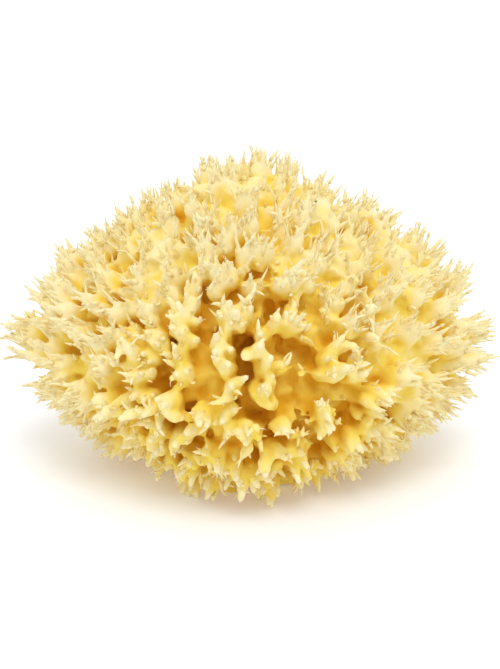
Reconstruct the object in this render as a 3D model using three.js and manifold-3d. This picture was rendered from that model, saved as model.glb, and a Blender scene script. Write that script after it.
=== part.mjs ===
// A natural wool bath sponge, dried and trimmed flat where it was cut from the rock.
//
// The sponge is one piece. Its outer surface is a net of walls around round canals, and the walls rise
// to a pointed tuft wherever three of them meet. The solid is built the same way: canal centres are
// spread over a rounded body, the walls are the Voronoi borders between them, and the tufts stand on
// the Voronoi corners. Millimetres, +Z up, the origin at the centre of the footprint on the cut face.
import * as THREE from "three";
import { ConvexHull } from "three/addons/math/ConvexHull.js";
import Module from "manifold-3d";

// Overall size of the dried sponge, tuft tip to tuft tip.
const WIDTH = 150;
const DEPTH = 118;
const HEIGHT = 96;
const WIDEST_Z = 35; // the widest level, above the cut face
const LOWER_REACH = 55; // how far the body would reach below that level if it weren't cut
const BODY_POWER = 1.5; // 2 is an ellipsoid, 1 has flat sides: the body lies between
const POWER_TILT = 0.1; // how much fuller the body is towards +X, and leaner towards -X

// The canals.
const CANALS = 330; // spread evenly over the whole body, before the large ones push some aside
const SPREAD_JITTER = 0.34; // how far a canal strays from its even place, as a share of the spacing
const FLOOR_SHARE = 0.84; // a shallow canal's floor, as a share of the way from the middle to the tips
const FLOOR_RANGE = 0.13; // how much deeper the deepest ordinary canal is
const FLOOR_WIDTH = 0.55; // the floor's radius, as a share of the way to the wall
const FLOOR_DISH = 0.02; // how much lower the floor is at its middle
const BASE_LEVEL = -0.8; // canals whose direction points further down than this are left closed

// The walls and tufts, as shares of the way from the middle to the longest tips.
const TUFT_SHARE = 0.975;
const TUFT_RANGE = 0.05;
const WALL_DROP = 0.085; // how far a wall dips between two tufts

// Large canals: [x, z of the mouth in mm, side of the body (-1 front, 1 back), radius in mm, depth share].
const VALLEY = 3; // the first canals of the list run into one valley
const VALLEY_WALL = 0.3; // how far up a wall inside the valley reaches, as a share of a wall elsewhere
const CLEARANCE = 1.25; // no other canal starts nearer to one than this many radii
const LARGE_CANALS = [
  [-2, 54, -1, 6, 0.4],
  [0, 44, -1, 6, 0.44],
  [2, 34, -1, 6, 0.4],
  [11, 24, -1, 6, 0.4],
  [21, 20, -1, 6, 0.34],
  [-21, 26, -1, 7, 0.36],
  [8, 63, -1, 7, 0.34],
  [17, 52, -1, 6, 0.34],
  [15, 39, -1, 6, 0.34],
  [-19, 65, -1, 7, 0.3],
  [-6, 76, -1, 6, 0.26],
  [32, 27, -1, 6, 0.26],
  [24, 60, 1, 7, 0.3],
  [-24, 40, 1, 7, 0.32],
  [36, 28, 1, 7, 0.26],
  [-10, 78, 1, 7, 0.26],
];

const HALF = new THREE.Vector3(WIDTH / 2, DEPTH / 2, HEIGHT - WIDEST_Z);

// A number from 0 to 1 that looks random and is the same in every run.
function chance(i, k) {
  const v = Math.sin(i * 12.9898 + k * 78.233) * 43758.5453;
  return v - Math.floor(v);
}

// A slow swelling and sinking of the body and its tufts with direction, from -1 to 1.
function ripple(u) {
  return (
    (Math.sin(9.1 * u.x + 1.3) * Math.sin(8.3 * u.y + 0.4) +
      Math.sin(10.7 * u.z + 2.1) * Math.sin(7.9 * u.x - 5.3 * u.y)) /
    2
  );
}

// The length of a direction in the body's own norm, in which the outer surface is at 1.
function bodyNorm(u) {
  const power = BODY_POWER + POWER_TILT * u.x;
  return (Math.abs(u.x) ** power + Math.abs(u.y) ** power + Math.abs(u.z) ** power) ** (1 / power);
}

// The place at a share of the way from the middle of the widest level to the surface.
function place(u, share) {
  const k = share / bodyNorm(u);
  const reach = u.z > 0 ? HALF.z : LOWER_REACH;
  return new THREE.Vector3(u.x * HALF.x * k, u.y * HALF.y * k, WIDEST_Z + u.z * reach * k);
}

// The direction in which a mouth at x and z lies, on the front or the back of the body.
function directionOf(x, z, side) {
  const qx = x / HALF.x;
  const qz = (z - WIDEST_Z) / (z > WIDEST_Z ? HALF.z : LOWER_REACH);
  const power = BODY_POWER + POWER_TILT * qx;
  const rest = 1 - Math.abs(qx) ** power - Math.abs(qz) ** power;
  return new THREE.Vector3(qx, side * rest ** (1 / power), qz).normalize();
}

// Canal centres: an even spiral over the body, jittered, with room made for the large canals.
function canalCentres() {
  const large = LARGE_CANALS.map(([x, z, side, radius, depth]) => ({
    u: directionOf(x, z, side),
    clear: (CLEARANCE * radius) / HALF.y,
    floor: 1 - depth,
  }));
  const centres = [...large];
  const turn = Math.PI * (3 - Math.sqrt(5));
  const spacing = Math.sqrt((4 * Math.PI) / CANALS);
  for (let i = 0; i < CANALS; i++) {
    const z = 1 - (2 * i + 1) / CANALS;
    const r = Math.sqrt(1 - z * z);
    const u = new THREE.Vector3(r * Math.cos(turn * i), r * Math.sin(turn * i), z);
    const stray = new THREE.Vector3(chance(i, 1) - 0.5, chance(i, 2) - 0.5, chance(i, 3) - 0.5);
    u.addScaledVector(stray, 2 * SPREAD_JITTER * spacing).normalize();
    if (large.some((c) => c.u.distanceTo(u) < c.clear)) continue;
    centres.push({ u, floor: FLOOR_SHARE - FLOOR_RANGE * chance(i, 4) });
  }
  return centres;
}

// The corners of the Voronoi net: one for each triangle of canal centres, with its three canals.
function wallCorners(centres) {
  const points = centres.map((c) => c.u);
  const index = new Map(points.map((p, i) => [p, i]));
  const hull = new ConvexHull().setFromPoints(points);
  return hull.faces.map((face) => {
    const canals = [];
    let edge = face.edge;
    do {
      canals.push(index.get(edge.head().point));
      edge = edge.next;
    } while (edge !== face.edge);
    return { u: face.normal.clone().normalize(), canals };
  });
}

// The closed surface of walls, tufts and canal floors.
function netGeometry() {
  const centres = canalCentres();
  const corners = wallCorners(centres);
  const vertices = [];
  const faces = [];
  const named = new Map();

  function vertex(key, make) {
    if (!named.has(key)) {
      named.set(key, vertices.length);
      vertices.push(make());
    }
    return named.get(key);
  }

  const sides = new Map();
  corners.forEach((corner) =>
    corner.canals.forEach((i, n) => {
      const j = corner.canals[(n + 1) % 3];
      const key = i < j ? `${i} ${j}` : `${j} ${i}`;
      sides.set(key, [...(sides.get(key) ?? []), corner.u]);
    }),
  );

  function wallMiddle(i, j) {
    const [a, b] = sides.get(i < j ? `${i} ${j}` : `${j} ${i}`);
    return a.clone().add(b).normalize();
  }

  function tuftShare(u) {
    return TUFT_SHARE + (TUFT_RANGE / 2) * ripple(u);
  }

  const closed = (i) => centres[i].u.z < BASE_LEVEL;
  const crestShare = (u) => tuftShare(u) - WALL_DROP;
  const floorShare = (i) => (closed(i) ? crestShare(centres[i].u) : centres[i].floor);

  function wallShare(i, j, u) {
    if (i >= VALLEY || j >= VALLEY) return crestShare(u);
    return floorShare(i) + VALLEY_WALL * (crestShare(u) - floorShare(i));
  }

  const tuft = (t) => vertex(`tuft ${t}`, () => place(corners[t].u, tuftShare(corners[t].u)));
  const wall = (i, j) => {
    const [low, high] = i < j ? [i, j] : [j, i];
    const u = wallMiddle(low, high);
    return vertex(`wall ${low} ${high}`, () => place(u, wallShare(low, high, u)));
  };
  const rim = (i, j) =>
    vertex(`rim ${i} ${j}`, () => {
      const u = centres[i].u.clone().lerp(wallMiddle(i, j), FLOOR_WIDTH).normalize();
      return place(u, floorShare(i));
    });
  const floor = (i) =>
    vertex(`floor ${i}`, () => place(centres[i].u, floorShare(i) - (closed(i) ? 0 : FLOOR_DISH)));

  corners.forEach((corner, t) =>
    corner.canals.forEach((i, n) => {
      const j = corner.canals[(n + 1) % 3];
      const k = corner.canals[(n + 2) % 3];
      faces.push([floor(i), rim(i, j), rim(i, k)]);
      faces.push([rim(i, j), wall(i, j), tuft(t)]);
      faces.push([rim(i, j), tuft(t), rim(i, k)]);
      faces.push([rim(i, k), tuft(t), wall(i, k)]);
    }),
  );

  const geometry = new THREE.BufferGeometry().setFromPoints(vertices);
  geometry.setIndex(faces.flat());
  return geometry;
}

// Conversions between three.js geometry and manifold-3d solids.
const wasm = await Module();
wasm.setup();

function toSolid(geometry) {
  return new wasm.Manifold(
    new wasm.Mesh({
      numProp: 3,
      vertProperties: new Float32Array(geometry.getAttribute("position").array),
      triVerts: new Uint32Array(geometry.index.array),
    }),
  );
}

function toGeometry(solid) {
  const mesh = solid.getMesh();
  const geometry = new THREE.BufferGeometry();
  geometry.setAttribute("position", new THREE.BufferAttribute(mesh.vertProperties, 3));
  geometry.setIndex(new THREE.BufferAttribute(mesh.triVerts, 1));
  return geometry;
}

// Everything below the cut face, as a closed block whose corners are shared.
function blockBelowCut() {
  const depth = 2 * LOWER_REACH;
  const block = new THREE.BoxGeometry(2 * WIDTH, 2 * DEPTH, depth).translate(0, 0, -depth / 2);
  const corners = [...Array(8).keys()].map(
    (n) => new THREE.Vector3((n & 1 ? 1 : -1) * WIDTH, (n & 2 ? 1 : -1) * DEPTH, n & 4 ? 0 : -depth),
  );
  const shared = new THREE.BufferGeometry().setFromPoints(corners);
  const position = block.getAttribute("position");
  const nearest = [...Array(position.count).keys()].map((n) => {
    const p = new THREE.Vector3().fromBufferAttribute(position, n);
    return corners.findIndex((c) => c.distanceTo(p) < 1e-3);
  });
  shared.setIndex([...block.index.array].map((n) => nearest[n]));
  return shared;
}

// The sponge, cut flat and brought to its exact overall size.
function spongeGeometry() {
  const cut = toSolid(netGeometry()).subtract(toSolid(blockBelowCut()));
  const geometry = toGeometry(cut);
  geometry.computeBoundingBox();
  const { min, max } = geometry.boundingBox;
  geometry.translate(-(min.x + max.x) / 2, -(min.y + max.y) / 2, -min.z);
  geometry.scale(WIDTH / (max.x - min.x), DEPTH / (max.y - min.y), HEIGHT / (max.z - min.z));
  geometry.computeVertexNormals();
  return geometry;
}

const spongin = new THREE.MeshStandardMaterial({
  name: "spongin",
  color: new THREE.Color(0.93, 0.8, 0.47),
  roughness: 0.95,
  metalness: 0,
  flatShading: true,
});

const body = new THREE.Mesh(spongeGeometry(), spongin);
body.name = "sponge_body";

const sponge = new THREE.Group();
sponge.name = "sponge";
sponge.add(body);

export default sponge;
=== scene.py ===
"""A natural wool bath sponge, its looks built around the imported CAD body.

The wool is evaluated as a solid on a grid: walls around round canals, tufts where the walls meet, and
the lower parts of the tines and lobes that grow out of the tufts. The tines' own ends, the barbs on the
edges, the forks off the tines and the loose fibres are thin closed spikes, in one piece each.
Lengths are in millimetres until a mesh is made. A share is a place on the way from the middle of the
widest level, at 0, to the body's outline, at 1. The front is the side with the large canals, at -Y.
"""

import math

import bmesh
import bpy
import numpy as np
import openvdb
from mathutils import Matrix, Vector


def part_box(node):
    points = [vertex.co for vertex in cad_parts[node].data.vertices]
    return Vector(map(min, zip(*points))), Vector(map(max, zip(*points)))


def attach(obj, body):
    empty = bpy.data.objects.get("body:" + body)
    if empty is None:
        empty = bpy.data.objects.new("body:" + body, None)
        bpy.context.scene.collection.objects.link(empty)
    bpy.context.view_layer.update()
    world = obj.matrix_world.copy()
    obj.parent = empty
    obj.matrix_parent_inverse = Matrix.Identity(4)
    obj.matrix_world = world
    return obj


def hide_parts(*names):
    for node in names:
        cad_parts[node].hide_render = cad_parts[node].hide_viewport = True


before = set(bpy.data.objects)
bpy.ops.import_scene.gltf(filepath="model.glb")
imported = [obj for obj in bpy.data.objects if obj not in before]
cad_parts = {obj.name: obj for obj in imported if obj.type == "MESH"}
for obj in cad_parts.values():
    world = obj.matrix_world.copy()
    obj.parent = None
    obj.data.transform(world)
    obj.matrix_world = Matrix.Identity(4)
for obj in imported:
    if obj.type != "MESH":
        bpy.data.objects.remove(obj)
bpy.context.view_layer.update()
body_low, body_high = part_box("sponge_body")

MM = 0.001
WIDTH, DEPTH, HEIGHT = (body_high - body_low) / MM
SEED = 7

# The body.
WIDEST_Z = 35  # the widest level, above the cut face
LOWER_REACH = 55  # how far the body would reach below that level if it weren't cut
BODY_POWER = 1.5  # 2 is an ellipsoid, 1 has flat sides: the body lies between
POWER_TILT = 0.1  # how much fuller the body is towards +X, and leaner towards -X
CANALS = 330  # spread evenly over the whole body, before the large ones push some aside
SPREAD_JITTER = 0.34  # how far a canal strays from its even place, as a share of the spacing
FLOOR_SHARE = 0.84  # a shallow canal's floor
FLOOR_RANGE = 0.13  # how much deeper the deepest ordinary canal is
CLEARANCE = 1.25  # no other canal starts nearer to a large one than this many radii
VALLEY = 3  # the first canals of the list run into one valley
OPEN_CANALS = 9  # the first canals of the list have fewer tines round them
LARGE_CANALS = [  # x, z of the mouth, side, radius, depth share
    (-2, 54, -1, 6, 0.40),
    (0, 44, -1, 6, 0.44),
    (2, 34, -1, 6, 0.40),
    (11, 24, -1, 6, 0.40),
    (21, 20, -1, 6, 0.34),
    (-21, 26, -1, 7, 0.36),
    (8, 63, -1, 7, 0.34),
    (17, 52, -1, 6, 0.34),
    (15, 39, -1, 6, 0.34),
    (-19, 65, -1, 7, 0.30),
    (-6, 76, -1, 6, 0.26),
    (32, 27, -1, 6, 0.26),
    (24, 60, 1, 7, 0.30),
    (-24, 40, 1, 7, 0.32),
    (36, 28, 1, 7, 0.26),
    (-10, 78, 1, 7, 0.26),
]
HALF = np.array([WIDTH / 2, DEPTH / 2, HEIGHT - WIDEST_Z])
MIDDLE = np.array([0, 0, WIDEST_Z])
UP = np.array([0.0, 0.0, 1.0])
MEAN_HALF = 60.0  # turns an angle between directions into a length at the surface

# The grid that the solid is evaluated on, and the map of directions that the net is looked up in.
VOXEL = 0.62
MARGIN = 3.0  # between the body's box and the edge of the grid
MAP_SIDE = 1100
MAP_STEP = 200_000  # directions worked out at a time
SLAB = 12  # layers of the grid worked out at a time
MAX_TRIANGLES = 196_000

# Noise: the size of its cells, and how far it bends the net's directions.
WIDE_CELL, WIDE_BEND = 17, 0.085
FINE_CELL, FINE_BEND = 8, 0.032
ROUGH_CELL = 2.2
LUMP_CELL = 4.5
GAP_CELL = 6.5
HOLE_CELL = 4.0

# The front, where lobes are broad: its middle, and how near to it a direction has to be.
FRONT_WAY = np.array([0.02, -1.0, -0.12])
FRONT_EDGE = 0.55  # the cosine at which the front begins
FRONT_BLEND = 0.38  # how much further in it is at its full

# The walls.
WALL_HALF = 0.75  # half of a wall's thickness at its crest
WALL_GROWTH = 0.085  # how much of it is added per millimetre of depth
WALL_TOP = 0.80
WALL_MISSING = 0.3  # the part of all walls that have sunk
MISSING_SINK = 0.09  # how much lower those are
FRONT_SINK = 0.13  # how much lower the walls of the front are
VALLEY_WALL = 0.08  # how far the walls inside the valley stand above its floor
WALL_CREST = 1.2  # over how many millimetres a crest is rounded

# The tufts.
TUFT_HALF = 0.35  # half of a tuft's thickness at its top
TUFT_GROWTH = 0.2  # how much of it is added per millimetre of depth
TUFT_MAX = 3.3
TUFT_TOP = 0.84
TUFT_SPREAD = 0.06  # how much taller the tallest tufts are than the shortest
TUFT_LEAN = 0.75  # how much the upper tufts turn upwards
LOW_LEAN = -0.2  # the same at the bottom, where they turn down
TUFT_STRAY = 0.16  # how much they turn aside
LOWEST_TUFT = -0.72  # tufts whose direction points further down than this stay bare
TUFT_BLEND = 1.6  # over how many millimetres a tuft runs into its walls

# The canals' floors, the holes in the walls and the pores in the cut face.
LOWEST_FLOOR = 0.67
FRONT_FLOOR = 0.04  # how much deeper the floors of the front are
FLOOR_BLEND = 3.0  # over how many millimetres a floor runs into its walls
HOLE_LEVEL = 0.62  # above this, hole noise opens the walls
HOLE_FADE = 5.0  # millimetres to one unit of the noise
HOLE_FOOT = 2.0  # how far above a floor the holes end
PORE_LEVEL = 0.15  # above this, the same noise opens pores in the cut face
PORE_RISE = 0.7  # how fast the pores close with the height above it
PORE_SHARE = 0.78  # how far out from the middle they go

# The outline that the tips end at.
SHOULDER = 0.05  # how much further the upper sides reach
SLOPE_DIP = 0.06  # how much less the slopes between the sides and the top reach
SLOPE_PLACE, SLOPE_WIDTH = 0.55, 0.35  # where those slopes are, as the X of a direction
CROWN = 97.5  # the level at which the topmost tips end, before the sponge is fitted to its box
CROWN_BEND = 3.0  # over how many millimetres below it they are slowed
LOWEST_TIP = 0.3  # no path runs lower than this

# The tines, each from the foot to the tip in five stretches.
TINES = (3.4, 5.6)  # the fewest and the most to a tuft
FRONT_FEWER, LOW_FEWER, OPEN_FEWER = 1.2, 1.5, 2.4  # how many fewer in those places
LOW_START, LOW_BLEND = -0.28, 0.25  # below this Z of a direction they are blunt and few
TINE_LENGTH, TALL_LENGTH = 14, 4  # the length, and how much more the tallest tufts have
TINE_RADIUS = (0.95, 1.35)
TINE_LIMIT, TALL_LIMIT = 0.93, 0.07  # where the shortest tips end, and how much further the tallest go
SPREAD_LIMIT = 0.06  # how much less the outermost tines of a tuft reach
HANGING = 0.07  # how much further those under the front hang down
BLUNT_CUT = 0.6  # how much of the last stretch a blunt tine lacks
SLIM = np.array([1.6, 1.3, 1.0, 0.7, 0.4, 0.0])
BLUNT = np.array([1.6, 1.35, 1.1, 0.9, 0.65, 0.0])
TINE_LIMBS = 3  # the stretches that are part of the solid
TINE_FIT = 0.96  # how thick a tine's own end is beside the limb that it continues

# The lobes of the front.
LOBE_DROP = 0.07  # how far below the tops of the tufts they start
LOBE_STRAY = 0.05  # how much further below at most
LOBE_LENGTH = (8, 15)
LOBE_RADIUS = (0.9, 1.6)
LOBE_LIMIT = (0.92, 0.985)
LOBE_TAPER = np.array([1.3, 1.15, 1, 0.85, 0.7, 0.4])
LOBE_LIMBS = 5

# The limbs of both, and the roughness that the finished solid gets: everywhere, and more on the front.
LIMB_BLEND = 1.2
ROUGHNESS, FRONT_ROUGHNESS = 0.3, 0.35
LUMPINESS, FRONT_LUMPINESS = 0.12, 0.15

# How many sides the spikes have, and how far out of the solid a tip has to stand. The place before the
# tip may be as far inside.
TINE_SIDES, BARB_SIDES, FORK_SIDES, FIBRE_SIDES = 7, 6, 6, 4
CLEAR_TIP = 0.5

# The barbs.
BARBS = 1800
BARB_CAVITY = 0.36  # they stand where less than this of the space around is wool
BARB_LENGTH = (2.0, 4.8)
BARB_RADIUS = (0.45, 0.8)
BARB_TAPER = np.array([1.15, 0.95, 0.75, 0.5, 0.0])

# The forks and the fibres: the number, where they start on a tine of five stretches, the length, how
# far they turn away, the shares that they end at, the radius and the taper.
FORKS = dict(count=3400, first=2.0, length=(2.5, 6.0), turn=(0.12, 0.45), limit=(0.94, 0.99))
FORK_RADIUS = (0.32, 0.6)
FORK_TAPER = np.array([1.0, 0.85, 0.65, 0.4, 0.0])
FIBRES = dict(count=3600, first=3.8, length=(2.0, 4.5), turn=(0.05, 0.2), limit=(0.97, 1.0))
FIBRE_RADIUS = (0.13, 0.22)
FIBRE_TAPER = np.array([1, 0.8, 0.5, 0])
LAST_START = 4.9  # none starts nearer to a tip than this
LOBE_FRONT = 0.5  # how far to the front a lobe counts as being

# What the colour goes by, as painted shade in the depth and in enclosed places: the share and how much of
# the space around is wool.
CAVITY_WIDTH = 7  # the side of that space
CAVITY_OUT = 2.5  # how far off the surface its middle is
LOW_SHADE = 0.20  # painted shade: how much darker and more golden the wool is made near the cut face, in shares of depth
LOW_SHADE_TOP = 32  # the height at which that ends
FRONT_SHADE = 0.14  # painted shade, the same, round the large canals of the front
SPIKE_SHADE_SHARE = 0.35  # how much of both painted shades the spikes take

# The colour in the depth, on the walls and at the tips: the wool's yellow, made darker and more golden
# towards the depth as painted shade; and how much it strays at random.
DEEP_SHADE_COLOR = (0.74, 0.41, 0.02, 1)
WALL_COLOR = (0.88, 0.69, 0.12, 1)
TIP_COLOR = (0.91, 0.81, 0.48, 1)
MOTTLE = 0.09
WOOL_BUMP, FIBRE_BUMP = 0.3, 0.1

# Light: the room is brighter overhead than at the horizon, and the sun is wide and soft.
HORIZON_LIGHT = 0.82
ZENITH_LIGHT = 0.99
SUN_LIGHT = 0.95
SUN_ANGLE = 30
SUN_WAY = (0.1, -0.45, 1.0)
FLOOR_SIZE = 20  # metres

# The camera, in degrees, metres and millimetres of lens.
ELEVATION = 20
DISTANCE = 0.468
TARGET_HEIGHT = 0.038
LENS = 85


def noise_grid(shape, cell, seed):
    """Smooth noise from -1 to 1 on a grid of this shape, with one random value every `cell` steps."""
    rng = np.random.RandomState(seed)
    grid = rng.uniform(-1, 1, [int(n / cell) + 3 for n in shape]).astype(np.float32)
    for axis, n in enumerate(shape):
        t = np.arange(n) / cell
        i = t.astype(int)
        f = (t - i).astype(np.float32)
        f = f * f * (3 - 2 * f)
        f = f.reshape([-1 if a == axis else 1 for a in range(3)])
        grid = np.take(grid, i, axis) * (1 - f) + np.take(grid, i + 1, axis) * f
    return grid


def smooth_max(a, b, k):
    """The larger of two values, rounded where they are within k of each other."""
    h = np.maximum(k - np.abs(a - b), 0) / k
    return np.maximum(a, b) + h * h * (k / 4)


def smooth_min(a, b, k):
    """The smaller of two values, rounded in the same way."""
    return -smooth_max(-a, -b, k)


def unit(v):
    """Vectors brought to length 1."""
    return v / np.maximum(np.linalg.norm(v, axis=-1, keepdims=True), 1e-9)


def random_ways(rng, *shape):
    """Random directions, all equally likely."""
    return unit(rng.normal(size=(*shape, 3)))


def body_norm(u):
    """The length of a direction in the body's own norm, in which the outer surface is at 1."""
    power = BODY_POWER + POWER_TILT * u[..., :1]
    return (np.abs(u) ** power).sum(-1, keepdims=True) ** (1 / power)


def body_space(p):
    """Points as (share of the way to the surface, direction) in the body's own norm."""
    q = np.stack(
        [
            p[..., 0] / HALF[0],
            p[..., 1] / HALF[1],
            (p[..., 2] - WIDEST_Z) / np.where(p[..., 2] > WIDEST_Z, HALF[2], LOWER_REACH),
        ],
        axis=-1,
    )
    u = unit(q)
    return np.linalg.norm(q, axis=-1) * body_norm(u)[..., 0], u


def body_scale(u):
    """The body's half width, half depth and reach up or down, for each direction."""
    reach = np.where(u[..., 2:] > 0, HALF[2], LOWER_REACH)
    return np.concatenate([np.full_like(reach, HALF[0]), np.full_like(reach, HALF[1]), reach], -1)


def place(u, share):
    """The point at a share of the way to the surface in direction u."""
    return u * body_scale(u) * (np.asarray(share)[..., None] / body_norm(u)) + MIDDLE


def outward(u):
    """The body surface's own normal in direction u."""
    return unit(np.sign(u) * np.abs(u) ** (BODY_POWER - 1) / body_scale(u))


def chance(i, k):
    """A number from 0 to 1 that looks random and is the same in every run."""
    v = np.sin(i * 12.9898 + k * 78.233) * 43758.5453
    return v - np.floor(v)


def large_canals():
    """Directions of the large canals, their floors' shares, and the room that each one needs."""
    ways = []
    for x, z, side, _, _ in LARGE_CANALS:
        qx = x / HALF[0]
        qz = (z - WIDEST_Z) / (HALF[2] if z > WIDEST_Z else LOWER_REACH)
        power = BODY_POWER + POWER_TILT * qx
        rest = 1 - abs(qx) ** power - abs(qz) ** power
        ways.append([qx, side * rest ** (1 / power), qz])
    floors = np.array([1 - depth for *_, depth in LARGE_CANALS])
    room = np.array([CLEARANCE * radius / HALF[1] for _, _, _, radius, _ in LARGE_CANALS])
    return unit(np.array(ways)), floors, room


def canal_centres():
    """Directions of all canals and their floors' shares: an even spiral, jittered, after the large ones."""
    large_u, large_floors, room = large_canals()
    i = np.arange(CANALS)
    z = 1 - (2 * i + 1) / CANALS
    r = np.sqrt(1 - z * z)
    turn = math.pi * (3 - math.sqrt(5))
    u = np.stack([r * np.cos(turn * i), r * np.sin(turn * i), z], -1)
    stray = np.stack([chance(i, k) - 0.5 for k in (1, 2, 3)], -1)
    u = unit(u + stray * 2 * SPREAD_JITTER * math.sqrt(4 * math.pi / CANALS))
    far = np.linalg.norm(u[:, None] - large_u[None], axis=-1)
    keep = (far >= room[None]).all(1)
    floors = FLOOR_SHARE - FLOOR_RANGE * chance(i, 4)
    return np.concatenate([large_u, u[keep]]), np.concatenate([large_floors, floors[keep]])


def wall_corners(centres):
    """Where three walls meet: the directions, a name from the three canals, and the share of open ones."""
    bm = bmesh.new()
    for c in centres:
        bm.verts.new(c)
    bm.verts.index_update()
    bmesh.ops.convex_hull(bm, input=bm.verts)
    bmesh.ops.triangulate(bm, faces=bm.faces)
    corners, names, open_share = [], [], []
    for face in bm.faces:
        normal = face.normal.normalized()
        corners.append(normal if normal.dot(face.calc_center_median()) > 0 else -normal)
        names.append(sum(v.index for v in face.verts))
        open_share.append(sum(v.index < OPEN_CANALS for v in face.verts) / 3)
    bm.free()
    return np.array(corners), np.array(names), np.array(open_share)


def fold(x, y, under):
    """Swaps the middle and the corners of a square map, for directions that point down."""
    fx = np.where(under, (1 - np.abs(y)) * np.where(x < 0, -1, 1), x)
    fy = np.where(under, (1 - np.abs(x)) * np.where(y < 0, -1, 1), y)
    return fx, fy


def on_map(u):
    """Where a direction lies on a square map of all directions, from 0 to 1."""
    n = u / np.abs(u).sum(-1, keepdims=True)
    fx, fy = fold(n[..., 0], n[..., 1], n[..., 2] < 0)
    return (fx + 1) / 2, (fy + 1) / 2


def map_directions(side):
    """The direction at every place of the square map."""
    t = (np.arange(side) + 0.5) / side * 2 - 1
    x, y = np.meshgrid(t, t, indexing="ij")
    z = 1 - np.abs(x) - np.abs(y)
    return unit(np.stack([*fold(x, y, z < 0), z], -1))


def nearest_three(u, centres):
    """For each direction, the three nearest canals and how near each one is, as a cosine."""
    near = u @ centres.T
    rows = np.arange(len(u))
    ids, values = [], []
    for _ in range(3):
        best = near.argmax(1)
        ids.append(best)
        values.append(near[rows, best].copy())
        near[rows, best] = -2
    return ids, values


def net_map(centres, floors):
    """What the net is in every direction, on a square map.

    The columns are the angles to the nearest wall and corner, the canal's floor, whether the wall is
    inside the valley, how far the wall has sunk, and how tall the corner's tuft is.
    """
    u = map_directions(MAP_SIDE).reshape(-1, 3).astype(np.float32)
    c = centres.astype(np.float32)
    out = np.empty((len(u), 6), np.float32)
    for start in range(0, len(u), MAP_STEP):
        rows = slice(start, start + MAP_STEP)
        (a, b, third), near = nearest_three(u[rows], c)
        wall = (near[0] - near[1]) / np.linalg.norm(c[a] - c[b], axis=1)
        other = (near[0] - near[2]) / np.linalg.norm(c[a] - c[third], axis=1)
        missing = (WALL_MISSING - chance(np.minimum(a, b) * 7 + np.maximum(a, b) * 3, 9)) * 8
        out[rows, 0] = wall
        out[rows, 1] = np.sqrt(wall**2 + other**2)
        out[rows, 2] = floors[a]
        out[rows, 3] = (a < VALLEY) & (b < VALLEY)
        out[rows, 4] = np.clip(missing, 0, 1)
        out[rows, 5] = chance(a + b + third, 11)
    return out.reshape(MAP_SIDE, MAP_SIDE, 6)


def look_up(table, u):
    """The map's values in directions u, blended between its places."""
    side = table.shape[0]
    x, y = on_map(u)
    x = np.clip(x * side - 0.5, 0, side - 1.001)
    y = np.clip(y * side - 0.5, 0, side - 1.001)
    i, j = x.astype(int), y.astype(int)
    fx, fy = (x - i)[..., None].astype(np.float32), (y - j)[..., None].astype(np.float32)
    top = table[i, j] * (1 - fy) + table[i, j + 1] * fy
    low = table[i + 1, j] * (1 - fy) + table[i + 1, j + 1] * fy
    return top * (1 - fx) + low * fx


def front_share(u):
    """1 in the middle of the front, where lobes are broad, falling to 0 round the sides, back and top."""
    t = np.clip((u @ unit(FRONT_WAY) - FRONT_EDGE) / FRONT_BLEND, 0, 1)
    return t * t * (3 - 2 * t)


class Grid:
    """A regular grid over the sponge, with the noise that bends and roughens it."""

    def __init__(self):
        self.low = np.array([-WIDTH / 2 - MARGIN, -DEPTH / 2 - MARGIN, -MARGIN])
        size = np.array([WIDTH, DEPTH, HEIGHT]) + 2 * MARGIN
        self.shape = [int(math.ceil(s / VOXEL)) + 1 for s in size]
        self.axes = [self.low[a] + VOXEL * np.arange(self.shape[a]) for a in range(3)]
        self.bend = [
            self.noise(WIDE_CELL, k) * WIDE_BEND + self.noise(FINE_CELL, 10 + k) * FINE_BEND
            for k in range(3)
        ]
        self.rough = self.noise(ROUGH_CELL, 20)
        self.lumps = self.noise(LUMP_CELL, 21)
        self.gaps = self.noise(GAP_CELL, 22)
        self.holes = self.noise(HOLE_CELL, 23)
        self.front = np.zeros(self.shape, np.float32)

    def noise(self, cell, seed):
        """Noise with cells of this many millimetres."""
        return noise_grid(self.shape, cell / VOXEL, SEED + seed)

    def points(self, layers):
        """The grid's points in these layers along X."""
        x, y, z = np.meshgrid(self.axes[0][layers], self.axes[1], self.axes[2], indexing="ij")
        return np.stack([x, y, z], -1)

    def sample(self, values, points):
        """Values of a grid array at points in millimetres."""
        t = (points - self.low) / VOXEL
        t = np.clip(t, 0, np.array(self.shape) - 1.001)
        i = t.astype(int)
        f = t - i
        out = 0
        for dx in (0, 1):
            for dy in (0, 1):
                for dz in (0, 1):
                    w = np.abs(1 - dx - f[:, 0]) * np.abs(1 - dy - f[:, 1]) * np.abs(1 - dz - f[:, 2])
                    out = out + w * values[i[:, 0] + dx, i[:, 1] + dy, i[:, 2] + dz]
        return out


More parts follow.
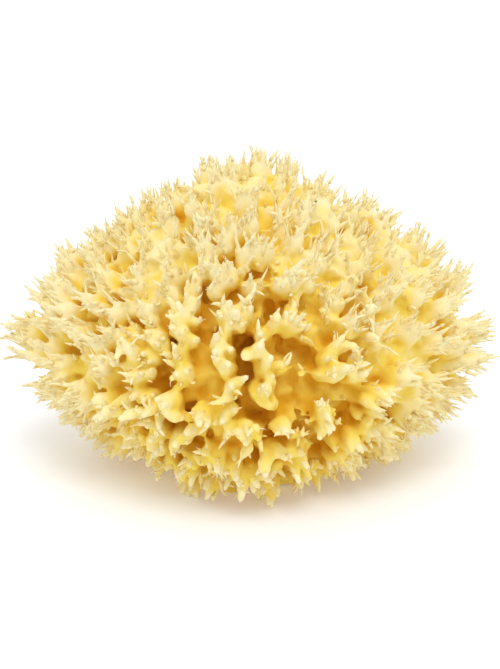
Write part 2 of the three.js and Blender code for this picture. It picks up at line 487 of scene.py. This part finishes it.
def net_layers(grid, table, layers):
    """The net in these layers of the grid: the walls and tufts, then the floors, holes and pores."""
    p = grid.points(layers)
    share, u = body_space(p)
    reach = np.linalg.norm(p - MIDDLE, axis=-1) / np.maximum(share, 0.05)
    bend = np.stack([b[layers] for b in grid.bend], -1)
    wall, corner, floor, valley, sunk, tall = np.moveaxis(look_up(table, unit(u + bend)), -1, 0)
    rough, lumps, gaps, holes = (n[layers] for n in (grid.rough, grid.lumps, grid.gaps, grid.holes))
    depth = np.maximum(1 - share, 0) * reach
    front = front_share(u)
    grid.front[layers] = front

    half = WALL_HALF + WALL_GROWTH * depth + 0.3 * lumps + 0.2 * front
    top = WALL_TOP - FRONT_SINK * front - MISSING_SINK * sunk + 0.03 * rough + 0.05 * gaps
    top = top * (1 - valley) + (floor + VALLEY_WALL) * valley
    walls = smooth_min(half - wall * MEAN_HALF * share, (top - share) * reach, WALL_CREST)

    half = np.minimum(TUFT_HALF + TUFT_GROWTH * depth, TUFT_MAX) * (1 - 0.1 * front)
    half = half + 0.35 * lumps + (0.5 - np.clip(tall, 0, 1)) * 0.3
    top = TUFT_TOP + TUFT_SPREAD * (tall - 0.5) + 0.015 * rough
    tufts = smooth_min(half - corner * MEAN_HALF * share, (top - share) * reach, 1.0)

    floor = np.maximum(floor - FRONT_FLOOR * front, LOWEST_FLOOR)
    floors = (floor - share) * reach + 0.8 * lumps
    value = smooth_max(smooth_max(walls, tufts, TUFT_BLEND), floors, FLOOR_BLEND)
    value = value + 0.25 * rough + 0.2 * lumps
    value = smooth_min(value, np.maximum((HOLE_LEVEL - holes) * HOLE_FADE, floors + HOLE_FOOT), 1.0)
    pores = (PORE_LEVEL - holes) * HOLE_FADE + PORE_RISE * p[..., 2]
    return smooth_min(value, np.maximum(pores, (share - PORE_SHARE) * reach), 1.0)


def net_solid(grid, table):
    """The walls, tufts and floors: positive inside, in millimetres."""
    out = np.empty(grid.shape, np.float32)
    for start in range(0, grid.shape[0], SLAB):
        layers = slice(start, min(start + SLAB, grid.shape[0]))
        out[layers] = net_layers(grid, table, layers)
    return cut_flat(grid, out)


def cut_flat(grid, solid):
    """The solid without what is below the cut face."""
    return np.minimum(solid, grid.axes[2][None, None, :].astype(np.float32))


def add_limbs(grid, solid, points, radii, count):
    """Joins the first `count` stretches of each path to the solid, rounded where they meet it."""
    for k in range(count):
        starts, ends, r0, r1 = points[:, k], points[:, k + 1], radii[:, k], radii[:, k + 1]
        room = (np.maximum(r0, r1) + LIMB_BLEND + VOXEL)[:, None]
        low = np.floor((np.minimum(starts, ends) - room - grid.low) / VOXEL).astype(int)
        high = np.ceil((np.maximum(starts, ends) + room - grid.low) / VOXEL).astype(int) + 1
        low = np.maximum(low, 0)
        high = np.minimum(high, np.array(grid.shape))
        for n in range(len(starts)):
            if (high[n] > low[n]).all():
                box = [slice(a, b) for a, b in zip(low[n], high[n])]
                add_limb(grid, solid, box, starts[n], ends[n], r0[n], r1[n])


def add_limb(grid, solid, box, start, end, r0, r1):
    """Joins one tapered limb to the solid, inside this box of the grid."""
    dx = (grid.axes[0][box[0]] - start[0])[:, None, None]
    dy = (grid.axes[1][box[1]] - start[1])[None, :, None]
    dz = (grid.axes[2][box[2]] - start[2])[None, None, :]
    along = end - start
    length2 = max(float(along @ along), 1e-6)
    t = np.clip((dx * along[0] + dy * along[1] + dz * along[2]) / length2, 0, 1)
    gap = np.sqrt((dx - t * along[0]) ** 2 + (dy - t * along[1]) ** 2 + (dz - t * along[2]) ** 2)
    block = solid[tuple(box)]
    block[...] = smooth_max(block, r0 + (r1 - r0) * t - gap, LIMB_BLEND)


def unbent(grid, u, share):
    """The directions in which the bent net has what the even net has in directions u."""
    bent = u
    for _ in range(2):
        p = place(bent, np.full(len(u), share))
        bent = unit(u - np.stack([grid.sample(b, p) for b in grid.bend], -1))
    return bent


def grow(base, way, curl, length, steps, limit):
    """Paths from base in direction way that turn towards curl, and end inside the body's outline."""
    points = [base]
    for k in range(1, steps):
        turned = unit(way + curl * (k / (steps - 1)) ** 1.5)
        points.append(points[-1] + turned * (length / (steps - 1))[:, None])
    points = np.stack(points, 1)
    first, _ = body_space(points[:, 0])
    last, _ = body_space(points[:, -1])
    shrink = np.clip((limit - first) / np.maximum(last - first, 1e-3), 0.2, 1)
    shrink = np.where(last > limit, shrink, 1)
    points = base[:, None] + (points - base[:, None]) * shrink[:, None, None]
    z = np.maximum(points[..., 2], LOWEST_TIP)
    slow_from = CROWN - CROWN_BEND
    slowed = slow_from + CROWN_BEND * np.tanh((z - slow_from) / (2 * CROWN_BEND))
    points[..., 2] = np.where(z > slow_from, slowed, z)
    return points


def shoulder(u):
    """How much further than elsewhere the tufts reach between the sides and the top, as a share."""
    out = np.abs(u[:, 0])
    sides = SHOULDER * out**3 * np.clip(u[:, 2] * 2.5, 0, 1)
    on_slope = np.clip(1 - ((out - SLOPE_PLACE) / SLOPE_WIDTH) ** 2, 0, 1)
    return sides - SLOPE_DIP * on_slope * np.clip(u[:, 2] / 0.6, 0, 1)


def tuft_axes(grid, corners, names, open_share):
    """The tufts: their directions, the ways they point, their heights, front shares and open shares."""
    rng = np.random.RandomState(SEED + 40)
    keep = corners[:, 2] > LOWEST_TUFT
    u = unbent(grid, corners[keep], TUFT_TOP)
    tall = chance(names[keep], 11)
    lean = np.clip((u[:, 2] + 0.35) / 0.6, 0, 1) * (TUFT_LEAN - LOW_LEAN) + LOW_LEAN
    radial = unit(place(u, np.ones(len(u))) - MIDDLE)
    way = radial + 0.5 * outward(u) + UP * lean[:, None] + rng.normal(size=(len(u), 3)) * TUFT_STRAY
    return u, unit(way), tall, front_share(u), open_share[keep]


def tine_paths(u, way, tall, front, open_share):
    """Paths and radii of the tines that make up each tuft, and how far to the front each one is."""
    rng = np.random.RandomState(SEED + 41)
    low = np.clip((LOW_START - u[:, 2]) / LOW_BLEND, 0, 1)
    fewer = FRONT_FEWER * front + LOW_FEWER * low * (1 - front) + OPEN_FEWER * open_share
    count = np.maximum(np.round(rng.uniform(*TINES, len(u)) - fewer), 1).astype(int)
    owner = np.repeat(np.arange(len(u)), count)
    n = len(owner)
    spread = rng.uniform(0.25, 1, n)
    spread[np.searchsorted(owner, np.arange(len(u)))] = 0
    u, way, tall, front, low, open_share = (v[owner] for v in (u, way, tall, front, low, open_share))
    hanging = low * np.clip(-u[:, 1] * 2 - 0.6, 0, 1) * np.clip(1 - np.abs(u[:, 0] - 0.03) / 0.45, 0, 1)

    side = unit(np.cross(way, rng.normal(size=(n, 3))))
    start = TUFT_TOP + TUFT_SPREAD * (tall - 0.5) - 0.04 - 0.03 * spread + 0.5 * shoulder(u)
    base = place(u, start) + side * (spread * (1.7 + 0.7 * front))[:, None]
    splay = (0.06 + 0.2 * spread + 0.35 * front * spread)[:, None]
    curl = side * 0.1 + random_ways(rng, n) * (rng.uniform(0.1, 0.4, n) * (1 + front))[:, None]
    length = (TINE_LENGTH + TALL_LENGTH * tall) * (1 - 0.3 * spread) * rng.uniform(0.8, 1.1, n)
    length = length * (1 - 0.15 * front) * (1 - 0.25 * open_share)
    limit = TINE_LIMIT + TALL_LIMIT * tall - SPREAD_LIMIT * spread + shoulder(u) + HANGING * hanging
    limit = limit + rng.uniform(-0.012, 0.012, n)
    points = grow(base, unit(way + side * splay), curl, length, len(SLIM), limit)

    blunt = np.maximum(front, low)[:, None]
    points[:, -1] = points[:, -2] + (points[:, -1] - points[:, -2]) * (1 - BLUNT_CUT * blunt)
    radius = rng.uniform(*TINE_RADIUS, n) * (1 + 0.1 * front) * (1 - 0.2 * spread)
    return points, radius[:, None] * (SLIM + (BLUNT - SLIM) * blunt), np.maximum(front, 0.8 * low)


def lobe_paths(u, way, front, open_share):
    """Paths and radii of the broad, blunt lobes between the tines of the front."""
    rng = np.random.RandomState(SEED + 42)
    owner = np.where(rng.uniform(0, 1, len(u)) < front * (1 - 0.8 * open_share))[0]
    n = len(owner)
    u, way = u[owner], way[owner]
    side = unit(np.cross(way, rng.normal(size=(n, 3))))
    base = place(u, TUFT_TOP - LOBE_DROP - rng.uniform(0, LOBE_STRAY, n)) + side * 0.8
    curl = random_ways(rng, n) * rng.uniform(0.4, 1.3, (n, 1)) + UP * 0.2
    length = rng.uniform(*LOBE_LENGTH, n)
    limit = rng.uniform(*LOBE_LIMIT, n)
    way = unit(way + side * rng.uniform(0.2, 0.75, (n, 1)))
    points = grow(base, way, curl, length, len(LOBE_TAPER), limit)
    radius = rng.uniform(*LOBE_RADIUS, n)
    return points, radius[:, None] * LOBE_TAPER * rng.uniform(0.7, 1.25, (n, len(LOBE_TAPER)))


def barb_paths(verts, normals, cavity):
    """Short curved barbs on the edges that stand out most, and their radii."""
    rng = np.random.RandomState(SEED + 50)
    _, u = body_space(verts)
    weight = np.clip(BARB_CAVITY - cavity, 0, None) ** 1.5 * (verts[:, 2] > 3) * (1 - 0.45 * front_share(u))
    pick = rng.choice(len(verts), BARBS, replace=False, p=weight / weight.sum())
    base, normal, u = verts[pick], normals[pick], u[pick]
    way = unit(normal * 0.6 + outward(u) * 0.8 + UP * 0.4 + rng.normal(size=(BARBS, 3)) * 0.3)
    curl = random_ways(rng, BARBS) * rng.uniform(0.4, 1.4, (BARBS, 1))
    length = rng.uniform(*BARB_LENGTH, BARBS)
    limit = rng.uniform(0.94, 0.99, BARBS)
    points = grow(base - way * 0.7, way, curl, length, len(BARB_TAPER), limit)
    return points, rng.uniform(*BARB_RADIUS, BARBS)[:, None] * BARB_TAPER


def side_paths(stems, front, steps, seed, count, first, length, turn, limit):
    """Paths that branch off the stems beyond `first` of their way, at a slight angle to them."""
    rng = np.random.RandomState(SEED + seed)
    weight = 1 - 0.55 * front
    pick = rng.choice(len(stems), count, p=weight / weight.sum())
    t = rng.uniform(first, LAST_START, count)
    i = t.astype(int)
    f = (t - i)[:, None]
    base = stems[pick, i] * (1 - f) + stems[pick, i + 1] * f
    along = unit(stems[pick, i + 1] - stems[pick, i])
    side = unit(np.cross(along, rng.normal(size=(count, 3))))
    angle = rng.uniform(*turn, count) * (1 + 0.6 * front[pick])
    curl = (along - side) * rng.uniform(-0.2, 0.5, (count, 1)) + random_ways(rng, count) * 0.4
    way = unit(along + side * angle[:, None])
    length = rng.uniform(*length, count) * (1 - 0.4 * front[pick])
    return grow(base, way, curl, length, steps, rng.uniform(*limit, count))


def spike_faces(rings, sides):
    """The triangles of one closed spike of this many rings, the last of which is its tip."""
    faces = []
    for r in range(rings - 2):
        for s in range(sides):
            s2 = (s + 1) % sides
            p, q = r * sides + s, r * sides + s2
            faces += [(p, q, q + sides), (p, q + sides, p + sides)]
    tip = (rings - 1) * sides
    last = tip - sides
    faces += [(last + s, last + (s + 1) % sides, tip) for s in range(sides)]
    faces += [(0, s + 1, s) for s in range(1, sides - 1)]
    return np.array(faces)


def spikes(points, radii, sides, rng):
    """Closed, pointed tubes along paths (n, rings, 3) with radii (n, rings): vertices and triangles."""
    n, rings, _ = points.shape
    way = unit(np.gradient(points, axis=1))
    a = unit(np.cross(way, random_ways(rng, n, 1)))
    b = np.cross(way, a)
    turn = np.arange(sides) / sides * 2 * math.pi
    cosine, sine = np.cos(turn)[:, None], np.sin(turn)[:, None]
    spoke = cosine * a[:, :-1, None] + sine * b[:, :-1, None]
    ring = points[:, :-1, None] + radii[:, :-1, None, None] * spoke
    ring = ring.reshape(n, (rings - 1) * sides, 3)
    verts = np.concatenate([ring, points[:, -1:, :]], 1)
    first = (np.arange(n) * verts.shape[1])[:, None, None]
    return verts.reshape(-1, 3), (spike_faces(rings, sides)[None] + first).reshape(-1, 3)


def surface_of(grid, solid):
    """The solid's surface as vertices and triangles, without its small loose bits."""
    level = openvdb.FloatGrid()
    level.copyFromArray(np.clip(-solid, -2.5, 2.5))
    verts, tris, quads = level.convertToPolygons(0.0, 0.0)
    faces = np.concatenate([quads[:, [0, 1, 2]], quads[:, [0, 2, 3]]] + ([tris] if len(tris) else []))
    verts, faces = main_part(verts * VOXEL + grid.low, faces)
    verts[:, 2] = np.maximum(verts[:, 2], 0)
    return verts, faces


def main_part(verts, faces):
    """The largest connected part of a mesh."""
    label = np.arange(len(verts))
    edges = np.concatenate([faces[:, [0, 1]], faces[:, [1, 2]]])
    while True:
        low = np.minimum(label[edges[:, 0]], label[edges[:, 1]])
        new = label.copy()
        np.minimum.at(new, edges[:, 0], low)
        np.minimum.at(new, edges[:, 1], low)
        new = new[new]
        if (new == label).all():
            break
        label = new
    main = np.bincount(label[faces[:, 0]]).argmax()
    faces = faces[label[faces[:, 0]] == main]
    used = np.unique(faces)
    index = np.zeros(len(verts), int)
    index[used] = np.arange(len(used))
    return verts[used], index[faces]


def make_piece(name, verts, faces, smooth):
    """A mesh object from vertices in millimetres."""
    mesh = bpy.data.meshes.new(name)
    mesh.vertices.add(len(verts))
    mesh.vertices.foreach_set("co", (verts * MM).astype(np.float32).ravel())
    mesh.loops.add(len(faces) * 3)
    mesh.loops.foreach_set("vertex_index", faces.astype(np.int32).ravel())
    mesh.polygons.add(len(faces))
    mesh.polygons.foreach_set("loop_start", np.arange(len(faces), dtype=np.int32) * 3)
    mesh.update(calc_edges=True)
    mesh.validate()
    if smooth:
        mesh.shade_smooth()
    piece = bpy.data.objects.new(name, mesh)
    bpy.context.scene.collection.objects.link(piece)
    return piece


def thin_out(piece):
    """Collapses the flattest edges until the piece has at most MAX_TRIANGLES triangles."""
    count = len(piece.data.polygons)
    if count <= MAX_TRIANGLES:
        return
    thin = piece.modifiers.new("thin", "DECIMATE")
    thin.ratio = MAX_TRIANGLES / count
    bpy.context.view_layer.update()
    graph = bpy.context.evaluated_depsgraph_get()
    mesh = bpy.data.meshes.new_from_object(piece.evaluated_get(graph))
    piece.modifiers.clear()
    piece.data = mesh


def points_of(piece):
    """The piece's vertices in millimetres."""
    co = np.empty(len(piece.data.vertices) * 3, np.float32)
    piece.data.vertices.foreach_get("co", co)
    return co.reshape(-1, 3).astype(float) / MM


def normals_of(piece):
    """The normals at the piece's vertices."""
    normals = np.empty(len(piece.data.vertices) * 3, np.float32)
    piece.data.vertices.foreach_get("normal", normals)
    return normals.reshape(-1, 3)


def box_blur(values, width):
    """A mean over a cube of `width` steps, one axis at a time."""
    for axis in range(3):
        pad = [(0, 0)] * 3
        pad[axis] = (width // 2 + 1, width - width // 2 - 1)
        total = np.cumsum(np.pad(values, pad, mode="edge"), axis=axis, dtype=np.float64)
        n = values.shape[axis]
        upper = np.take(total, np.arange(width, width + n), axis)
        lower = np.take(total, np.arange(0, n), axis)
        values = ((upper - lower) / width).astype(np.float32)
    return values


def cavity_at(grid, filled, p):
    """How much of the space just outside these points is wool."""
    _, u = body_space(p)
    return grid.sample(filled, p + outward(u) * CAVITY_OUT)


def store(piece, name, values):
    """Keeps a value for each vertex, for the material to read."""
    attribute = piece.data.attributes.new(name, "FLOAT", "POINT")
    attribute.data.foreach_set("value", values.astype(np.float32))


def store_shade_masks(piece, grid, filled, shade_share):
    """Keeps what the colour goes by, painted shade included; the last argument is how much of the painted
    shade near the cut face and round the front's large canals the piece takes.
    """
    p = points_of(piece)
    share, u = body_space(p)
    # Painted shade: the share is lowered near the cut face and round the front's large canals, so the
    # colour there turns darker and more golden.
    painted_shade = LOW_SHADE * np.clip(1 - p[:, 2] / LOW_SHADE_TOP, 0, 1) + FRONT_SHADE * front_share(u)
    store(piece, "share", share - painted_shade * shade_share)
    # How much of the space just outside is wool: the colour ramp turns this into painted shade in enclosed
    # places.
    store(piece, "cavity", cavity_at(grid, filled, p))


def fit_to_body(pieces):
    """Brings the finished sponge to exactly the CAD body's box."""
    low = np.min([points_of(piece).min(0) for piece in pieces], axis=0)
    high = np.max([points_of(piece).max(0) for piece in pieces], axis=0)
    target_low, target_high = np.array(body_low) / MM, np.array(body_high) / MM
    scale = (target_high - target_low) / (high - low)
    for piece in pieces:
        co = (points_of(piece) - low) * scale + target_low
        piece.data.vertices.foreach_set("co", (co * MM).astype(np.float32).ravel())
        piece.data.update()


def spike_pieces(grid, solid, body, filled, tines, tine_radii, tine_front, lobes):
    """The tines' ends, the barbs, the forks and the fibres, where they stand out of the solid."""
    rng = np.random.RandomState(SEED + 60)
    pieces = []

    def add(name, paths, radii, sides):
        tip = grid.sample(solid, paths[:, -1])
        before = grid.sample(solid, paths[:, -2])
        keep = (tip < -CLEAR_TIP) & (before < CLEAR_TIP)
        pieces.append(make_piece(name, *spikes(paths[keep], radii[keep], sides, rng), smooth=False))

    add("tines", tines[:, 1:], tine_radii[:, 1:] * TINE_FIT, TINE_SIDES)
    verts = points_of(body)
    barbs, barb_radii = barb_paths(verts, normals_of(body), cavity_at(grid, filled, verts))
    add("barbs", barbs, barb_radii, BARB_SIDES)
    stems = np.concatenate([tines, lobes])
    front = np.concatenate([tine_front, np.full(len(lobes), LOBE_FRONT)])
    forks = side_paths(stems, front, len(FORK_TAPER), 55, **FORKS)
    add("forks", forks, rng.uniform(*FORK_RADIUS, (len(forks), 1)) * FORK_TAPER, FORK_SIDES)
    fibres = side_paths(stems, front, len(FIBRE_TAPER), 56, **FIBRES)
    add("fibres", fibres, rng.uniform(*FIBRE_RADIUS, (len(fibres), 1)) * FIBRE_TAPER, FIBRE_SIDES)
    return pieces


def build():
    """All pieces of the wool, fitted to the CAD body: the body first, then the spikes."""
    centres, floors = canal_centres()
    grid = Grid()
    solid = net_solid(grid, net_map(centres, floors))
    u, way, tall, front, open_share = tuft_axes(grid, *wall_corners(centres))
    tines, tine_radii, tine_front = tine_paths(u, way, tall, front, open_share)
    lobes, lobe_radii = lobe_paths(u, way, front, open_share)
    add_limbs(grid, solid, tines, tine_radii, TINE_LIMBS)
    add_limbs(grid, solid, lobes, lobe_radii, LOBE_LIMBS)
    rough = (ROUGHNESS + FRONT_ROUGHNESS * grid.front) * grid.rough
    lumps = (LUMPINESS + FRONT_LUMPINESS * grid.front) * grid.lumps
    solid = cut_flat(grid, solid + (rough + lumps))
    filled = box_blur((solid > 0).astype(np.float32), max(3, int(CAVITY_WIDTH / VOXEL)))

    body = make_piece("wool_body", *surface_of(grid, solid), smooth=True)
    thin_out(body)
    fine = spike_pieces(grid, solid, body, filled, tines, tine_radii, tine_front, lobes)
    store_shade_masks(body, grid, filled, 1)
    for piece in fine:
        store_shade_masks(piece, grid, filled, SPIKE_SHADE_SHARE)
    fit_to_body([body, *fine])
    return [body, *fine]


def add_node(tree, kind, values=None, links=None):
    """A new shader node, with values on some inputs and other nodes' outputs linked to others."""
    node = tree.nodes.new("ShaderNode" + kind)
    for name, value in (values or {}).items():
        node.inputs[name].default_value = value
    for name, output in (links or {}).items():
        tree.links.new(output, node.inputs[name])
    return node


def stored(tree, name):
    """A value kept on the mesh."""
    node = add_node(tree, "Attribute")
    node.attribute_name = name
    return node.outputs["Fac"]


def ranged(tree, value, low, high, to_low=0, to_high=1):
    """A value brought from one range to another."""
    ends = {"From Min": low, "From Max": high, "To Min": to_low, "To Max": to_high}
    return add_node(tree, "MapRange", ends, {"Value": value}).outputs["Result"]


def noise_of(tree, scale, detail):
    """Noise fixed to the object."""
    vector = add_node(tree, "TexCoord").outputs["Object"]
    return add_node(tree, "TexNoise", {"Scale": scale, "Detail": detail}, {"Vector": vector}).outputs["Fac"]


def added(tree, a, b):
    """The sum of two values."""
    return add_node(tree, "Math", links={0: a, 1: b}).outputs["Value"]


def wool_shade_tone(tree):
    """Painted shade: 0 in the depth and in enclosed places, 1 at the open tips, by height and by how open
    the place is, a little mottled at random.
    """
    # Painted shade in enclosed places, from how much of the space around is wool.
    openness_shade = ranged(tree, stored(tree, "cavity"), 0.5, 0.12)
    height = ranged(tree, stored(tree, "share"), 0.6, 0.97)
    mean = add_node(tree, "Math", {1: 0.5}, {0: added(tree, openness_shade, height)})
    mean.operation = "MULTIPLY"
    stray = ranged(tree, noise_of(tree, 240, 3), 0.3, 0.7, -MOTTLE, MOTTLE)
    return added(tree, mean.outputs["Value"], stray)


def wool_color_and_shade(tree):
    """The wool's yellow with painted shade: cream at the open tips, yellow on the walls, darker gold in the
    depth and in enclosed places.
    """
    node = add_node(tree, "ValToRGB", links={"Fac": wool_shade_tone(tree)})
    deep, tip = node.color_ramp.elements
    deep.position = 0.12
    deep.color = DEEP_SHADE_COLOR
    tip.position = 0.92
    tip.color = TIP_COLOR
    node.color_ramp.elements.new(0.55).color = WALL_COLOR
    return node.outputs["Color"]


def wool_material(name, bump_strength):
    """Matt wool with a fine grain."""
    material = bpy.data.materials.new(name)
    material.use_nodes = True
    tree = material.node_tree
    bsdf = tree.nodes["Principled BSDF"]
    grain = noise_of(tree, 900, 2)
    bump = add_node(tree, "Bump", {"Strength": bump_strength, "Distance": 0.0004}, {"Height": grain})
    tree.links.new(wool_color_and_shade(tree), bsdf.inputs["Base Color"])
    tree.links.new(bump.outputs["Normal"], bsdf.inputs["Normal"])
    tree.links.new(ranged(tree, grain, 0, 1, 0.6, 0.85), bsdf.inputs["Roughness"])
    bsdf.inputs["Specular IOR Level"].default_value = 0.12
    return material


def let_light_in(material):
    """Gives the walls the glow of light that passes through them."""
    bsdf = material.node_tree.nodes["Principled BSDF"]
    bsdf.inputs["Subsurface Weight"].default_value = 0.35
    bsdf.inputs["Subsurface Radius"].default_value = (1.0, 0.7, 0.3)
    bsdf.inputs["Subsurface Scale"].default_value = 0.002


def floor_material():
    """Plain matt white, a little brighter than the light on it."""
    material = bpy.data.materials.new("floor")
    material.use_nodes = True
    bsdf = material.node_tree.nodes["Principled BSDF"]
    bsdf.inputs["Base Color"].default_value = (0.84, 0.86, 0.90, 1)
    bsdf.inputs["Emission Color"].default_value = (1, 1, 1, 1)
    bsdf.inputs["Emission Strength"].default_value = 0.15
    bsdf.inputs["Roughness"].default_value = 1.0
    bsdf.inputs["Specular IOR Level"].default_value = 0.0
    return material


def add_floor():
    """The white ground that the sponge stands on."""
    bpy.ops.mesh.primitive_plane_add(size=FLOOR_SIZE, location=(0, 0, 0))
    floor = bpy.context.object
    floor.name = "floor"
    floor.data.materials.append(floor_material())


def add_room_light():
    """An even white room, a little brighter overhead."""
    world = bpy.data.worlds.new("studio")
    bpy.context.scene.world = world
    world.use_nodes = True
    tree = world.node_tree
    sky = add_node(tree, "TexCoord").outputs["Generated"]
    height = add_node(tree, "SeparateXYZ", links={"Vector": sky}).outputs["Z"]
    background = tree.nodes["Background"]
    background.inputs["Color"].default_value = (1, 1, 1, 1)
    strength = ranged(tree, height, 0, 1, HORIZON_LIGHT, ZENITH_LIGHT)
    tree.links.new(strength, background.inputs["Strength"])


def add_sun():
    """The key light, from above and a little in front."""
    data = bpy.data.lights.new("key", "SUN")
    data.energy = SUN_LIGHT
    data.angle = math.radians(SUN_ANGLE)
    key = bpy.data.objects.new("key", data)
    key.rotation_mode = "QUATERNION"
    key.rotation_quaternion = Vector(SUN_WAY).to_track_quat("Z", "Y")
    bpy.context.scene.collection.objects.link(key)


def add_camera():
    """The camera of the photo, in front and looking down."""
    elevation = math.radians(ELEVATION)
    back = Vector((0, -math.cos(elevation), math.sin(elevation)))
    data = bpy.data.cameras.new("camera")
    data.lens = LENS
    data.sensor_width = 36
    camera = bpy.data.objects.new("camera", data)
    camera.rotation_mode = "QUATERNION"
    camera.location = Vector((0, 0, TARGET_HEIGHT)) + back * DISTANCE
    camera.rotation_quaternion = back.to_track_quat("Z", "Y")
    bpy.context.scene.collection.objects.link(camera)
    bpy.context.scene.camera = camera


def keep_true_tones():
    """Shows colours as they are, and lets light bounce on between the pale walls."""
    scene = bpy.context.scene
    scene.view_settings.view_transform = "Standard"
    scene.cycles.diffuse_bounces = 10
    scene.cycles.max_bounces = 14


wool = wool_material("spongin_wool", WOOL_BUMP)
let_light_in(wool)
fibre = wool_material("spongin_fibre", FIBRE_BUMP)
for part in build():
    part.data.materials.clear()
    part.data.materials.append(wool if part.name == "wool_body" else fibre)
    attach(part, "root")
    if part.name == "wool_body":
        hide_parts("sponge_body")

add_floor()
add_room_light()
add_sun()
add_camera()
keep_true_tones()
